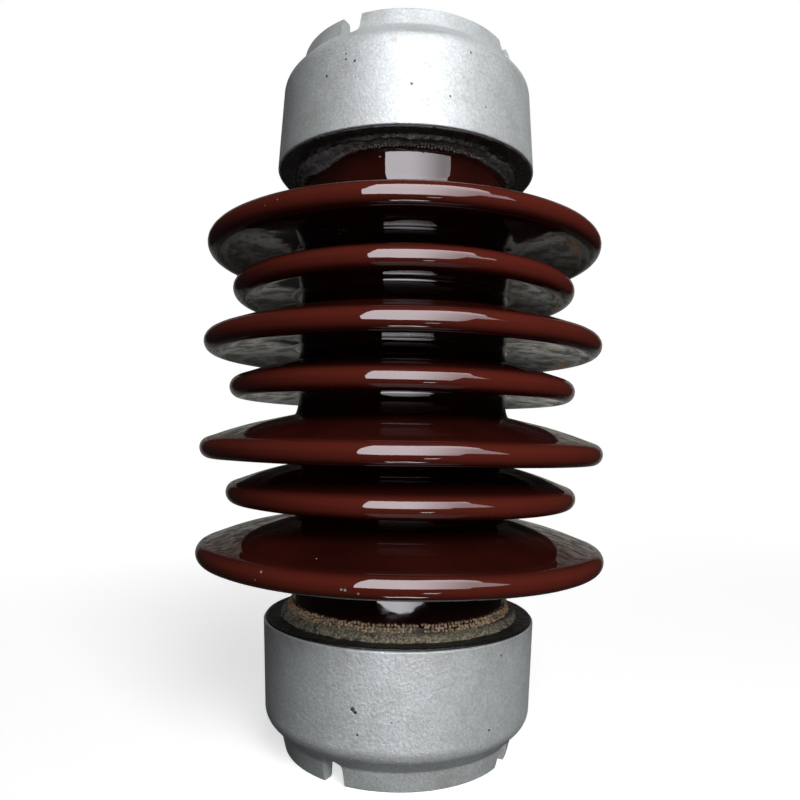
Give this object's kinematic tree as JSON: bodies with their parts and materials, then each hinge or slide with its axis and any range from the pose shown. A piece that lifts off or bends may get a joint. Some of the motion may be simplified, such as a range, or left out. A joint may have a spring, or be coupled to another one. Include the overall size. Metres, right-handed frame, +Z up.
{
  "type": "porcelain post insulator",
  "caption": "Brown-glazed porcelain post insulator with alternating large and small sheds, cemented into notched iron end castings with tapped mounting holes.",
  "frame": {"origin": "centre of the lower end face, where the insulator stands on its support", "axes": "+Z up along the insulator's axis, -Y towards the side the picture was taken from"},
  "size_m": [0.2046, 0.2046, 0.355],
  "materials": {
    "brown_glaze": "glossy",
    "galvanised_iron": "hot-dip galvanised, satin",
    "cement": "matte",
    "grit": "rough",
    "bitumen": "semi-gloss",
    "cushion_felt": "matte"
  },
  "bodies": {
    "root": {"porcelain_body": "brown_glaze", "top_fitting": "galvanised_iron", "bottom_fitting": "galvanised_iron", "top_cement": "cement", "bottom_cement": "cement", "top_grit_band": "grit", "bottom_grit_band": "grit", "top_bitumen_seal": "bitumen", "bottom_bitumen_seal": "bitumen", "top_cushion": "cushion_felt", "bottom_cushion": "cushion_felt"}
  },
  "joints": []
}
